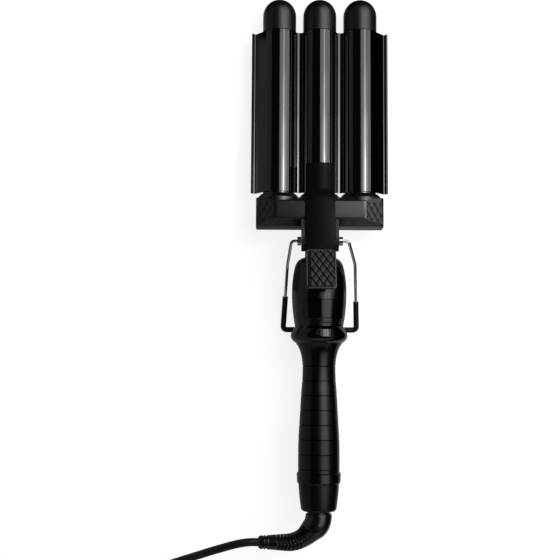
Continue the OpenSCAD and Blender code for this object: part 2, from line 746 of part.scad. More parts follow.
// Outer line of neck and bulb, from the housing to the bulb's end, as [distance, radius]
bulb_line = concat(
    [[-housing_y0 - shell_wall, neck_d / 2]],
    curve([11.1, neck_d / 2], [11.6, bulb_shoulder_d / 2 - 1.7],
          [bulb_shoulder_y, bulb_shoulder_d / 2], 6),
    [for (i = [1 : 8]) let (t = i / 8)
        [bulb_shoulder_y + (bulb_y - bulb_shoulder_y) * t,
         bulb_d / 2 - (bulb_d - bulb_shoulder_d) / 2 * pow(1 - t, 2)]],
    [for (i = [1 : 8]) bulb_tail(bulb_y + (bulb_groove_y - 0.8 - bulb_y) * i / 8)],
    [for (i = [0 : 1 : bulb_grooves - 1], side = [-1, 0, 1])
        bulb_tail(bulb_groove_y + bulb_groove_pitch * i + side * bulb_groove_w / 2)
            - [0, side == 0 ? bulb_groove_depth : 0]],
    [bulb_tail(bulb_end)]);

function inner_line(line, wall) = [for (i = [len(line) - 1 : -1 : 0]) line[i] - [0, wall]];

// The space in front of the handle's parting plane, or behind it
module half_space(front) {
    translate([-bulb_d, -2 * bulb_end, front ? 0 : -bulb_d])
        cube([2 * bulb_d, 3 * bulb_end, bulb_d]);
}

// Rounded block standing on the X-Y plane, for the button and its opening
module button_block(gap) {
    w = button_w / 2 + gap;
    l = button_len / 2 + gap;
    translate([0, -button_y, 8])
        linear_extrude(20) polygon(fillet([[-w, -l], [w, -l], [w, l], [-w, l]], 1.6 + gap));
}

handle_screw_ys = [30, 61.5];
board_z = 6;
board_t = 1.6;
board_w = 28;
board_len = 24;
board_mid = 46;
board_rest = bulb_d / 2 - 4 + board_z - SEAT;

module handle_shell(front) {
    post_r = 3.2;
    difference() {
        intersection() {
            union() {
                turned(concat(bulb_line, inner_line(bulb_line, shell_wall)));
                intersection() {
                    turned(concat(bulb_line, [[bulb_end, 0], [-housing_y0, 0]]));
                    for (y = handle_screw_ys) translate([0, -y, -bulb_d / 2])
                        cylinder(r = post_r, h = bulb_d);
                }
            }
            half_space(front);
        }
        if (front) {
            button_block(button_gap);
            for (y = handle_screw_ys) translate([0, -y, -1]) cylinder(r = 1.25, h = 13);
        } else {
            for (y = handle_screw_ys) translate([0, -y, 0]) {
                translate([0, 0, -bulb_d]) cylinder(r = 1.7, h = 2 * bulb_d);
                translate([0, 0, -bulb_d]) cylinder(r = 2.9, h = bulb_d - 9);
            }
        }
    }
}

module handle_front() {
    color("#101012") stand_on_rest() handle_shell(true);
}

module handle_back() {
    color("#101012") stand_on_rest() {
        handle_shell(false);
        for (s = [-1, 1])
            translate([s * 9, -board_mid, -bulb_d / 2 + 4]) cylinder(r = 2.2, h = board_rest);
    }
}

module handle_screws() {
    color("#55565a") stand_on_rest()
        for (y = handle_screw_ys) translate([0, -y, -9 - SEAT]) screw(1.2, 2.6, 17);
}

module control_board() {
    color("#1f6b3a") stand_on_rest()
        translate([-board_w / 2, -board_mid - board_len / 2, board_z])
            cube([board_w, board_len, board_t]);
}

module button_switch() {
    color("#3a3a3e") stand_on_rest() {
        translate([-3, -button_y - 3, board_z + board_t]) cube([6, 6, 3.5]);
        translate([0, -button_y, board_z + board_t + 3.5]) cylinder(r = 1.7, h = 0.8);
    }
}

// Power button: a curved tile that continues the bulb's surface, with a stem to its switch
module power_button() {
    skin = 2;
    stem_z = board_z + board_t + 4.3 + button_travel + 0.2;
    color("#0e0e10") stand_on_rest() {
        intersection() {
            turned(concat([for (p = bulb_line) p - [0, 0.25]], inner_line(bulb_line, skin + 0.25)));
            button_block(0);
        }
        intersection() {
            translate([0, -button_y, stem_z]) cylinder(r = 2.2, h = 20);
            turned(concat([for (p = bulb_line) p - [0, 1]], [[bulb_end, 0], [-housing_y0, 0]]));
        }
    }
}

// Band with the dial's window; its bore leaves room for the dial
band_line = concat(
    curve([band_y + 0.15, bulb_end_d / 2 + 0.1], [band_y + 3.5, band_d / 2 - 0.5],
          [band_y + 6.4, band_d / 2], 6),
    curve([band_y + 7, band_d / 2], [band_y + 10.4, band_d / 2], [band_end - 0.1, grip_foot_d / 2],
          7));
window_y = dial_y + dial_len / 2 - 0.7;

module dial_band() {
    bore_r = dial_d / 2 + 0.3;
    front_r = bulb_end_d / 2 - 1.2;
    back_r = core_d / 2 + SEAT;
    half_w = band_d / 2 * sin(window_angle / 2);
    half_l = window_len / 2;
    slot = concat(arc([half_w - half_l, 0], half_l, -90, 90, 8),
                  arc([half_l - half_w, 0], half_l, 90, 270, 8));
    color("#121213") stand_on_rest() difference() {
        turned(concat(band_line,
            [[band_end - 0.1, back_r], [dial_y + dial_len + 0.4, back_r],
             [dial_y + dial_len + 0.4, bore_r], [dial_y - 0.4, bore_r],
             [dial_y - 0.4, front_r], [band_y + 0.15, front_r]]));
        rotate([0, window_turn, 0]) translate([0, -window_y, band_d / 4])
            linear_extrude(band_d / 2) polygon(slot);
    }
}

// Heat dial: a ring with ribs along its rim, turning on the handle's core
dial_bore_r = 15.4;
module heat_dial() {
    rib = 360 / dial_ribs;
    r = dial_d / 2;
    rim = [for (i = [0 : dial_ribs - 1], k = [0 : 3]) let (a = rib * (i + [0.06, 0.44, 0.6, 0.9][k]))
        (k < 2 ? r : r - 0.55) * [cos(a), sin(a)]];
    color("#1b1b1c") stand_on_rest() translate([0, -dial_y, 0]) rotate([90, 0, 0]) difference() {
        linear_extrude(dial_len) polygon(rim);
        translate([0, 0, -1]) cylinder(r = dial_bore_r, h = dial_len + 2);
    }
}

// Core: the tube inside the grip, with the hub that carries the dial
module handle_core() {
    r = core_d / 2;
    hub_r = dial_bore_r - 0.12;
    bore = r - 1.8;
    color("#2a2a2d") stand_on_rest()
        turned([[bulb_end - 1, bore], [bulb_end - 1, bulb_end_d / 2 - shell_wall - 0.1],
                [bulb_end + 0.1, bulb_end_d / 2 - shell_wall - 0.1], [dial_y - 0.3, hub_r],
                [dial_y + dial_len + 0.3, hub_r],
                [dial_y + dial_len + 0.3, r], [grip_end + 5, r], [grip_end + 5, bore]]);
}

grip_waist_y = grip_y + 20.1;
// Outer line of the grip from its foot through its waist to its end
grip_line = concat(
    curve([grip_y, grip_foot_d / 2], [grip_y + 6.8, grip_waist_d / 2],
          [grip_waist_y, grip_waist_d / 2], 9),
    curve([grip_waist_y + 1, grip_waist_d / 2], [grip_waist_y + 8, grip_waist_d / 2],
          [grip_waist_y + 18, grip_waist_d / 2 + 1], 4),
    curve([grip_end - 34, grip_d / 2 - 0.65], [grip_end - 24, grip_d / 2],
          [grip_end - 14, grip_d / 2], 5),
    [[grip_end, grip_d / 2]]);
groove_first = grip_waist_y - 1.8;

function line_at(line, y) = let (i = max([for (k = [0 : len(line) - 2]) line[k][0] <= y ? k : 0]))
    line[i][1] + (line[i + 1][1] - line[i][1]) * (y - line[i][0]) / (line[i + 1][0] - line[i][0]);

module grip_sleeve() {
    groove_w = 0.9;
    count = floor((grip_end - 1 - groove_first) / groove_pitch) + 1;
    color("#1e1e20") stand_on_rest() difference() {
        turned(concat(grip_line,
                      [[grip_end, core_d / 2 + SEAT], [grip_y, core_d / 2 + SEAT]]));
        for (i = [0 : count - 1]) let (y = groove_first + i * groove_pitch,
                                       r = line_at(grip_line, y))
            turned([[y - groove_w / 2, r + 2], [y - groove_w / 2, r + 0.1],
                    [y, r - groove_depth], [y + groove_w / 2, r + 0.1], [y + groove_w / 2, r + 2]]);
    }
}

module end_ring() {
    r = ring_d / 2;
    color("#111112") stand_on_rest()
        turned([[grip_end + SEAT, core_d / 2 + SEAT], [grip_end + SEAT, r - 0.6],
                [grip_end + 0.7, r], [ring_end - 1.4, r - 0.25], [ring_end - 0.2, r - 1],
                [ring_end - 0.2, core_d / 2 + SEAT]]);
}

module tail_cap() {
    r = ring_d / 2 - 1.4;
    color("#19191a") stand_on_rest()
        turned(concat([[ring_end, core_d / 2 - 3], [ring_end, r]],
                      curve([ring_end + 3, r - 0.2], [ring_end + 13, r - 0.9],
                            [tail_end - 1.2, tail_end_d / 2], 6),
                      [[tail_end, tail_end_d / 2 - 1.2], [tail_end, spindle_r + 0.15],
                       [tail_end - 4, spindle_r + 0.15], [tail_end - 4, spindle_r + 3],
                       [tail_end - 9, spindle_r + 3], [tail_end - 14, core_d / 2 - 3]]));
}

// ---- Swivel, cord and plug ----

// Spindle: neck in the tail cap with a flange that keeps it there
module swivel_spindle() {
    color("#2c2c2e") stand_on_rest()
        turned([[stem_y, 0], [stem_y, spindle_r], [tail_end - 4.2, spindle_r],
                [tail_end - 4.2, spindle_r + 2.6], [tail_end - 7, spindle_r + 2.6],
                [tail_end - 7, 0]]);
}

// Line of the stem and strain relief: down from the tail, then aside; and its two bends
relief_down = 23;
relief_aside = 47;
relief_line = [[0, -stem_y], [0, -stem_y - 7.9], [7.9 - relief_down, -stem_y - relief_down],
               [-relief_aside, -stem_y - relief_down]];
relief_route = bent_route(relief_line, [12.5, 24]);
// Radius against the distance along the strain relief
relief_taper = [[0, stem_r], [9, stem_r], [23, relief_neck_d / 2], [54, relief_end_d / 2],
                [80, relief_end_d / 2]];
// Length of a route up to its point i
function travelled(route, i) = i == 0 ? 0 : travelled(route, i - 1) + norm(route[i] - route[i - 1]);

module strain_relief() {
    radii = [for (i = [0 : len(relief_route) - 1])
        lookup(travelled(relief_route, i), relief_taper)];
    color("#1a1a1b") stand_on_rest()
        lofted(tube_rings(relief_route, radii, 20, [0, 0, 1]));
}

cord_r = cord_d / 2;
// Height of the cord's centre where it lies on the surface
cord_z = cord_r + 0.1;
// Centre of the coil on the surface, and the plug's cord end and its turn
coil_c = [-125, -319];
plug_at = [-58, -365, 7.1];
plug_turn = -22;
coil_half = coil_w / 2;
coil_height = coil_layers * cord_d;
// Chosen points of the cord on its way down from the strain relief to the coil's outer turn
lead_points = let (tip = laid(relief_route[len(relief_route) - 1]), down = tip[2]) [
    tip, tip + [-7, -0.1, -0.1], tip + [-14, -1.2, -0.6], [-69.2, -231.7, down - 1.9],
    [-77, -234.4, down - 4.3], [-85, -237.4, down - 7.5], [-93, -240.7, down - 11.3],
    [-101, -244, down - 15.3], [-110, -247.7, down - 19.6], [-121, -252.2, down - 24],
    [-133, -257.3, down - 27.6], [-145, -263.2, down - 29.6], [-156.3, -271, cord_z],
    [-165.6, -281.4, cord_z], [-171.4, -294, cord_z], [-173.5, -307, cord_z],
    [coil_c[0] - coil_d / 2 - coil_half + cord_r, coil_c[1], cord_z]];
// Chosen points of the cord from the coil's top turn to the plug
tail_points = let (on_top = coil_height - cord_r + 0.1) [
    [-111, coil_c[1] - 48.6, on_top], [-104, coil_c[1] - 49.2, on_top - 0.3],
    [-95, coil_c[1] - 49.4, on_top - 1.8], [-86, coil_c[1] - 49, on_top - 3.6],
    [-77, coil_c[1] - 48.2, on_top - 4.5], [-67, coil_c[1] - 47.1, on_top - 3.7],
    plug_at - [0, 0, 0.1]];

module cord_lead() {
    route = smooth(lead_points, 3);
    color("#151516") lofted(tube_rings(route, [for (p = route) cord_r], 8, [0.01, 0.01, 1]));
}

module cord_coil() {
    color("#151516") translate([coil_c[0], coil_c[1], 0.1])
        rotate_extrude($fn = 48) translate([coil_d / 2, 0])
            polygon([[-coil_half, 0], [coil_half, 0], [coil_half, coil_height - cord_r],
                     [coil_half - cord_r, coil_height], [cord_r - coil_half, coil_height],
                     [-coil_half, coil_height - cord_r]]);
}

module cord_tie() {
    tie_w = 10;
    tie_t = 1;
    room = coil_half + 0.6;
    color("#202022") translate([coil_c[0], coil_c[1] + coil_d / 2, 0])
        difference() {
            translate([-tie_w / 2, -room - tie_t, 0])
                cube([tie_w, 2 * (room + tie_t), coil_height + 0.2 + tie_t]);
            translate([-tie_w, -room, -1]) cube([2 * tie_w, 2 * room, coil_height + 1.2]);
        }
}

module cord_tail() {
    route = smooth(tail_points, 3);
    color("#151516") lofted(tube_rings(route, [for (p = route) cord_r], 8, [0.01, 0.01, 1]));
}

// Flat two-pin plug lying on its side face
module plug_body() {
    color("#171718") translate(plug_at) rotate([0, 0, plug_turn]) {
        translate([0, 0, -7]) linear_extrude(14)
            polygon(fillet([[0, -5], [9, -5.5], [16, -13.5], [34, -13.5], [34, 13.5], [16, 13.5],
                            [9, 5.5], [0, 5]], 1.6));
    }
}

module plug_pins() {
    color("#b5b8bc") translate(plug_at) rotate([0, 0, plug_turn])
        for (s = [-1, 1]) translate([34, s * plug_pin_gap / 2, 0]) rotate([0, 90, 0])
            cylinder(d = plug_pin_d, h = plug_pin_len);
}

barrel(-1);  // barrel_left
barrel(0);  // barrel_middle
barrel(1);  // barrel_right
tip_cap(-1);  // tip_cap_left
tip_cap(0);  // tip_cap_middle
tip_cap(1);  // tip_cap_right
heat_spreader(-1);  // heat_spreader_left
heat_spreader(0);  // heat_spreader_middle
heat_spreader(1);  // heat_spreader_right
ptc_heater(-1);  // ptc_heater_left
ptc_heater(0);  // ptc_heater_middle
ptc_heater(1);  // ptc_heater_right
barrel_collars();
housing_front();
housing_back();
housing_screws();
hinge_bracket();
hinge_pin();
return_spring();
clamp_plate();
clamp_lever();
thumb_pad();
rest_wire();
rest_sleeve();
rest_bushings();
handle_front();
handle_back();
handle_screws();
control_board();
button_switch();
power_button();
dial_band();
heat_dial();
handle_core();
grip_sleeve();
end_ring();
tail_cap();
swivel_spindle();
strain_relief();
cord_lead();
cord_coil();
cord_tie();
cord_tail();
plug_body();
plug_pins();
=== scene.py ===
import math
import bmesh
import bpy
from mathutils import Matrix, Vector


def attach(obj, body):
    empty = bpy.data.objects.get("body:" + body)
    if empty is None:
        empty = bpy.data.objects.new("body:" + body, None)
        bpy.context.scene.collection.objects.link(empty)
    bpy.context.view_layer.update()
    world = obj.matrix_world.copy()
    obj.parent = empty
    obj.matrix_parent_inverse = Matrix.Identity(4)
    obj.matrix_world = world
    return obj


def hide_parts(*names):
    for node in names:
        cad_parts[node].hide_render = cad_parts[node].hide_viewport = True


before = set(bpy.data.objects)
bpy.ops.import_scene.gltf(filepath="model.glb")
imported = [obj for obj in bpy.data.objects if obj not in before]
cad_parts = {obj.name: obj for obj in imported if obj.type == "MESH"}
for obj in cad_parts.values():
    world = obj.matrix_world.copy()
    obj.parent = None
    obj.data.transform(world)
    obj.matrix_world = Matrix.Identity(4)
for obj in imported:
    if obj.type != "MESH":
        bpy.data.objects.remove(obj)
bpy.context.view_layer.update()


# ---- The tool's own frame: Y to the tips from the hinge pin, Z up through the lever; millimetres ----

MM = 0.001
# How the tool lies on its folded rest: its lean, the height of its frame's origin over the
# surface, and the middle of its length
TILT = math.radians(2.67634)
LIFT = 22.2182
LAID_MID = -5.51435
TOOL = Matrix.Translation((0, -LAID_MID * MM, LIFT * MM)) @ Matrix.Rotation(-TILT, 4, "X")


def laid(x, y, z):
    """A point of the tool frame in millimetres, as a point of the row frame in metres."""
    return TOOL @ (Vector((x, y, z)) * MM)


# ---- Camera: its place, its picture's right and up, and its lens, solved from the photograph ----

CAMERA_PLACE = (-0.03124, -0.0601743, 0.8227384)
CAMERA_RIGHT = (0.9999829, 0.0058407, 0.0002676)
CAMERA_UP = (-0.0058468, 0.9989347, 0.0457747)
CAMERA_LENS = 64.517
CAMERA_SENSOR = 36


def place_camera():
    """The camera stands 0.8 m over the tool and looks down at it."""
    camera = bpy.data.objects.new("camera", bpy.data.cameras.new("camera"))
    camera.data.lens = CAMERA_LENS
    camera.data.sensor_width = CAMERA_SENSOR
    right, up = Vector(CAMERA_RIGHT), Vector(CAMERA_UP)
    turn = Matrix((right, up, right.cross(up))).transposed().to_4x4()
    camera.matrix_world = Matrix.Translation(CAMERA_PLACE) @ turn
    bpy.context.collection.objects.link(camera)
    bpy.context.scene.camera = camera


place_camera()

# ---- Materials ----

# Most of a noise lies between these values
NOISE_LOW = 0.3
NOISE_HIGH = 0.7
# Cells a metre of a finish's clouds of colour and of its worn patches
CLOUD_SCALE = 40
WEAR_SCALE = 108


def new_material(name):
    """An empty node material and its node tree."""
    material = bpy.data.materials.new(name)
    material.use_nodes = True
    material.node_tree.nodes.clear()
    return material, material.node_tree


def add(tree, kind, **values):
    """A node of that kind, with the named inputs set."""
    node = tree.nodes.new("ShaderNode" + kind)
    for key, value in values.items():
        node.inputs[key.replace("_", " ")].default_value = value
    return node


def noise(tree, scale, detail, stretch=(1, 1, 1)):
    """Noise over the object's own coordinates, scale in cells a metre."""
    place = tree.nodes.new("ShaderNodeTexCoord")
    spread = add(tree, "Mapping")
    spread.inputs["Scale"].default_value = stretch
    texture = add(tree, "TexNoise", Scale=scale, Detail=detail)
    tree.links.new(place.outputs["Object"], spread.inputs["Vector"])
    tree.links.new(spread.outputs["Vector"], texture.inputs["Vector"])
    return texture.outputs["Fac"]


def between(tree, factor, low, high):
    """Maps the middle of a noise to values from low to high."""
    ramp = add(tree, "MapRange")
    for key, value in (("From Min", NOISE_LOW), ("From Max", NOISE_HIGH),
                       ("To Min", low), ("To Max", high)):
        ramp.inputs[key].default_value = value
    tree.links.new(factor, ramp.inputs["Value"])
    return ramp.outputs["Result"]


def tones(tree, factor, dark, light):
    """Maps the middle of a noise to colours from dark to light."""
    ramp = add(tree, "ValToRGB")
    ramp.color_ramp.elements[0].position = NOISE_LOW
    ramp.color_ramp.elements[0].color = (*dark, 1)
    ramp.color_ramp.elements[1].position = NOISE_HIGH
    ramp.color_ramp.elements[1].color = (*light, 1)
    tree.links.new(factor, ramp.inputs["Fac"])
    return ramp.outputs["Color"]


def bumps(tree, factor, depth):
    """A bump as deep as depth metres."""
    bump = add(tree, "Bump", Strength=1.0, Distance=depth)
    tree.links.new(factor, bump.inputs["Height"])
    return bump.outputs["Normal"]


def surface(dark, light, rough, grain=1800, grain_depth=0.00004, stretch=(1, 1, 1),
            metallic=0.0, level=0.5, ior=1.5):
    """A moulded, coated or metal finish: two tones, a roughness range and a fine grain."""
    material, tree = new_material("finish")
    shader = add(tree, "BsdfPrincipled", Metallic=metallic, IOR=ior)
    shader.inputs["Specular IOR Level"].default_value = level
    clouds = noise(tree, CLOUD_SCALE, 4.0)
    tree.links.new(tones(tree, clouds, dark, light), shader.inputs["Base Color"])
    wear = noise(tree, WEAR_SCALE, 5.0, stretch)
    tree.links.new(between(tree, wear, *rough), shader.inputs["Roughness"])
    normal = bumps(tree, noise(tree, grain, 2.0, stretch), grain_depth)
    tree.links.new(normal, shader.inputs["Normal"])
    output = tree.nodes.new("ShaderNodeOutputMaterial")
    tree.links.new(shader.outputs["BSDF"], output.inputs["Surface"])
    return material


def grey(value):
    """A neutral colour."""
    return (value, value, value)


# Finish for each material slot of the record: dark and light tone, roughness from and to
MATERIALS = {
    "barrel_coating": surface(grey(0.001), grey(0.002), (0.1, 0.14), grain=2600,
                              grain_depth=0.000004, stretch=(1, 0.2, 1), ior=1.6),
    "cap_plastic": surface(grey(0.0015), grey(0.0025), (0.34, 0.4), grain=2400,
                           grain_depth=0.00003),
    "spreader_metal": surface(grey(0.5), grey(0.62), (0.3, 0.42), metallic=1.0, grain=900,
                              stretch=(1, 0.1, 1)),
    "heater_ceramic": surface((0.72, 0.68, 0.58), (0.8, 0.76, 0.68), (0.5, 0.65)),
    "collar_plastic": surface(grey(0.003), grey(0.005), (0.26, 0.32), grain=2200,
                              grain_depth=0.00002),
    "housing_plastic": surface(grey(0.008), grey(0.011), (0.18, 0.22), grain=2200,
                               grain_depth=0.000012),
    "screw_steel": surface(grey(0.32), grey(0.42), (0.3, 0.42), metallic=1.0),
    "bracket_plastic": surface(grey(0.004), grey(0.006), (0.34, 0.42), level=0.4),
    "pin_steel": surface(grey(0.5), grey(0.58), (0.2, 0.3), metallic=1.0),
    "spring_steel": surface(grey(0.42), grey(0.5), (0.28, 0.36), metallic=1.0),
    "plate_coating": surface(grey(0.0002), grey(0.0005), (0.06, 0.085), grain=2600,
                             grain_depth=0.000002, stretch=(1, 0.15, 1), ior=1.6),
    "lever_paint": surface((0.004, 0.0034, 0.0042), (0.0054, 0.0047, 0.0056), (0.28, 0.34),
                           grain=1700, grain_depth=0.00002, level=0.04),
    "pad_plastic": surface(grey(0.004), grey(0.006), (0.24, 0.3), grain=2600,
                           grain_depth=0.00001),
    "wire_chrome": surface(grey(0.46), grey(0.56), (0.07, 0.11), metallic=1.0, grain=1200,
                           grain_depth=0.000004),
    "sleeve_rubber": surface(grey(0.002), grey(0.004), (0.5, 0.62), level=0.3),
    "bushing_plastic": surface(grey(0.34), grey(0.44), (0.06, 0.1), metallic=1.0, grain=900,
                               grain_depth=0.000003),
    "bulb_gloss": surface(grey(0.0003), grey(0.0008), (0.16, 0.2), grain=500,
                          grain_depth=0.000003),
    "board_laminate": surface((0.004, 0.03, 0.012), (0.006, 0.045, 0.018), (0.3, 0.4)),
    "switch_plastic": surface(grey(0.03), grey(0.05), (0.4, 0.5)),
    "button_gloss": surface(grey(0.0002), grey(0.0005), (0.07, 0.1), grain=500,
                            grain_depth=0.000002, level=0.45),
    "band_gloss": surface(grey(0.0003), grey(0.0008), (0.1, 0.14), grain=500,
                          grain_depth=0.000003, level=0.45),
    "dial_plastic": surface(grey(0.005), grey(0.008), (0.08, 0.12), grain=500,
                            grain_depth=0.000003, level=1.0),
    "core_plastic": surface(grey(0.02), grey(0.03), (0.45, 0.55)),
    "grip_plastic": surface(grey(0.0005), grey(0.001), (0.24, 0.28), grain=2400,
                            grain_depth=0.000015, level=0.34),
    "ring_gloss": surface(grey(0.0005), grey(0.001), (0.2, 0.25), grain=900,
                          grain_depth=0.000005, level=0.36),
    "tail_plastic": surface(grey(0.0008), grey(0.0014), (0.29, 0.34), grain=2400,
                            grain_depth=0.00002, level=0.28),
    "swivel_plastic": surface(grey(0.01), grey(0.015), (0.4, 0.5)),
    "relief_rubber": surface(grey(0.0012), grey(0.002), (0.22, 0.27), grain=2000,
                             grain_depth=0.00001, level=0.6),
    "cord_rubber": surface(grey(0.003), grey(0.005), (0.36, 0.44), level=0.4),
    "tie_plastic": surface(grey(0.012), grey(0.018), (0.45, 0.55)),
    "plug_plastic": surface(grey(0.01), grey(0.015), (0.38, 0.48)),
    "plug_nickel": surface(grey(0.55), grey(0.63), (0.16, 0.24), metallic=1.0),
}

# The CAD nodes that wear each finish
NODE_MATERIALS = {
    "barrel_coating": ["barrel_left", "barrel_middle", "barrel_right"],
    "cap_plastic": ["tip_cap_left", "tip_cap_middle", "tip_cap_right"],
    "spreader_metal": ["heat_spreader_left", "heat_spreader_middle", "heat_spreader_right"],
    "heater_ceramic": ["ptc_heater_left", "ptc_heater_middle", "ptc_heater_right"],
    "collar_plastic": ["barrel_collars"], "housing_plastic": ["housing_front", "housing_back"],
    "screw_steel": ["housing_screws", "handle_screws"], "bracket_plastic": ["hinge_bracket"],
    "pin_steel": ["hinge_pin"], "spring_steel": ["return_spring"], "plate_coating": ["clamp_plate"],
    "lever_paint": ["clamp_lever"], "pad_plastic": ["thumb_pad"], "wire_chrome": ["rest_wire"],
    "sleeve_rubber": ["rest_sleeve"], "bushing_plastic": ["rest_bushings"],
    "bulb_gloss": ["handle_front", "handle_back"], "board_laminate": ["control_board"],
    "switch_plastic": ["button_switch"], "button_gloss": ["power_button"], "band_gloss": ["dial_band"],
    "dial_plastic": ["heat_dial"], "core_plastic": ["handle_core"], "grip_plastic": ["grip_sleeve"],
    "ring_gloss": ["end_ring"], "tail_plastic": ["tail_cap"], "swivel_plastic": ["swivel_spindle"],
    "relief_rubber": ["strain_relief"], "cord_rubber": ["cord_lead", "cord_coil", "cord_tail"],
    "tie_plastic": ["cord_tie"], "plug_plastic": ["plug_body"], "plug_nickel": ["plug_pins"],
}


def dress(piece, material):
    """Gives a piece that material alone."""
    piece.data.materials.clear()
    piece.data.materials.append(MATERIALS[material])


# Edges sharper than this stay sharp in the shading
SMOOTH_LIMIT = math.radians(28)
# Points this close together, in metres, are one point to the shading
MERGE_DISTANCE = 0.000002


def smoothing_nodes():
    """Node group that shades a mesh smooth except across edges sharper than the limit."""
    group = bpy.data.node_groups.new("smooth_shading", "GeometryNodeTree")
    group.interface.new_socket("Geometry", in_out="INPUT", socket_type="NodeSocketGeometry")
    group.interface.new_socket("Geometry", in_out="OUTPUT", socket_type="NodeSocketGeometry")
    start = group.nodes.new("NodeGroupInput")
    end = group.nodes.new("NodeGroupOutput")
    merge = group.nodes.new("GeometryNodeMergeByDistance")
    merge.inputs["Distance"].default_value = MERGE_DISTANCE
    plain = group.nodes.new("GeometryNodeRemoveAttribute")
    plain.inputs["Name"].default_value = "custom_normal"
    faces = group.nodes.new("GeometryNodeSetShadeSmooth")
    edges = group.nodes.new("GeometryNodeSetShadeSmooth")
    edges.domain = "EDGE"
    angle = group.nodes.new("GeometryNodeInputMeshEdgeAngle")
    gentle = group.nodes.new("FunctionNodeCompare")
    gentle.operation = "LESS_THAN"
    gentle.inputs["B"].default_value = SMOOTH_LIMIT
    link = group.links.new
    link(start.outputs[0], merge.inputs["Geometry"])
    link(merge.outputs[0], plain.inputs["Geometry"])
    link(plain.outputs[0], faces.inputs["Geometry"])
    link(faces.outputs[0], edges.inputs["Geometry"])
    link(angle.outputs["Unsigned Angle"], gentle.inputs["A"])
    link(gentle.outputs["Result"], edges.inputs["Shade Smooth"])
    link(edges.outputs[0], end.inputs[0])
    return group


SMOOTHING = smoothing_nodes()


def shade_smooth(piece):
    """Smooth shading as a modifier, so that the piece's own mesh stays as it is."""
    piece.modifiers.new("smooth_shading", "NODES").node_group = SMOOTHING


def dress_nodes():
    """Every CAD node gets its finish and smooth shading."""
    for material, names in NODE_MATERIALS.items():
        for name in names:
            dress(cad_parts[name], material)
            shade_smooth(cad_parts[name])


for slot_name, finish in MATERIALS.items():
    finish.name = "finish_" + slot_name
dress_nodes()


def mesh_piece(name, build, material, body):
    """A mesh that build fills through bmesh, dressed and riding on a body."""
    mesh = bpy.data.meshes.new(name)
    work = bmesh.new()
    build(work)
    bmesh.ops.recalc_face_normals(work, faces=work.faces)
    work.to_mesh(mesh)
    work.free()
    piece = bpy.data.objects.new(name, mesh)
    bpy.context.collection.objects.link(piece)
    dress(piece, material)
    shade_smooth(piece)
    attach(piece, body)
    return piece


# ---- Cord ----

CORD_D = 6.4
# Height of the cord's middle where it lies on the surface
LYING_Z = 3.3
COIL_CENTRE = (-125, -319)
# Where the strain relief starts and ends in the tool frame, at the height of the barrel axes
RELIEF_START = (0, -211.1)
RELIEF_END = (-47, -234.1)
relief_tip = laid(*RELIEF_END, 0)

# Chosen points from the strain relief down to the coil; the first three are steps from its tip
LEAD_STEPS = [(0, 0, 0), (-7, -0.1, -0.1), (-14, -1.2, -0.6)]
LEAD = [(-69.2, -231.7, 31.25), (-77, -234.4, 28.85), (-85, -237.4, 25.65), (-93, -240.7, 21.85),
        (-101, -244, 17.85), (-110, -247.7, 13.55), (-121, -252.2, 9.15), (-133, -257.3, 5.55),
        (-145, -263.2, 3.55), (-156.3, -271, LYING_Z), (-165.6, -281.4, LYING_Z),
        (-171.4, -294, LYING_Z), (-173.5, -307, LYING_Z)]
# Chosen points from the coil's top turn to the plug
TAIL = [(-131.4, -364.85, 9.7), (-122, -366.3, 9.7), (-113, -367.4, 9.8), (-104, -368.2, 9.4),
        (-95, -368.4, 7.9), (-86, -368, 6.1), (-77, -367.2, 5.2), (-67, -366.1, 6.0),
        (-58, -365, 7.0)]


def coil_turns():
    """Points round the coil: inwards on the floor, up one diameter, and outwards on top."""
    steps = 16
    low_turns, climb, high_turns = 3.5, 0.4, 3.3
    # Radius where the turns on the floor start, and where those on top start
    outer, inner = 48.8, 25.8
    total = low_turns + climb + high_turns
    points = []
    for i in range(round(total * steps) + 1):
        turn = i / steps
        up = min(max((turn - low_turns) / climb, 0), 1)
        if turn <= low_turns:
            radius = outer - CORD_D * turn
        elif turn <= low_turns + climb:
            radius = outer - CORD_D * low_turns + (inner - outer + CORD_D * low_turns) * up
        else:
            radius = inner + CORD_D * (turn - low_turns - climb)
        angle = math.pi + math.tau * turn
        points.append((COIL_CENTRE[0] + radius * math.cos(angle),
                       COIL_CENTRE[1] + radius * math.sin(angle),
                       LYING_Z + CORD_D * up * up * (3 - 2 * up)))
    return points


def make_cord():
    """The whole cord as one curve from the strain relief through its coil to the plug."""
    route = [relief_tip + Vector(step) * MM for step in LEAD_STEPS]
    route += [Vector(point) * MM for point in LEAD + coil_turns() + TAIL]
    curve = bpy.data.curves.new("mains_cord", "CURVE")
    curve.dimensions = "3D"
    curve.resolution_u = 6
    curve.bevel_depth = CORD_D / 2 * MM
    curve.bevel_resolution = 5
    curve.use_fill_caps = True
    spline = curve.splines.new("BEZIER")
    spline.bezier_points.add(len(route) - 1)
    for knot, point in zip(spline.bezier_points, route):
        knot.co = point
        knot.handle_left_type = knot.handle_right_type = "AUTO"
    cord = bpy.data.objects.new("mains_cord", curve)
    bpy.context.collection.objects.link(cord)
    dress(cord, "cord_rubber")
    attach(cord, "cord_set")
    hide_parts("cord_lead", "cord_coil", "cord_tail")


make_cord()

# ---- Strain relief ----

# The route's legs: their lengths, and the radius of each that bends to the picture's left
RELIEF_LEGS = [(2.72, None), (9.82, 12.5), (6.24, None), (18.85, 24), (21.96, None)]
RELIEF_LENGTH = sum(length for length, radius in RELIEF_LEGS)
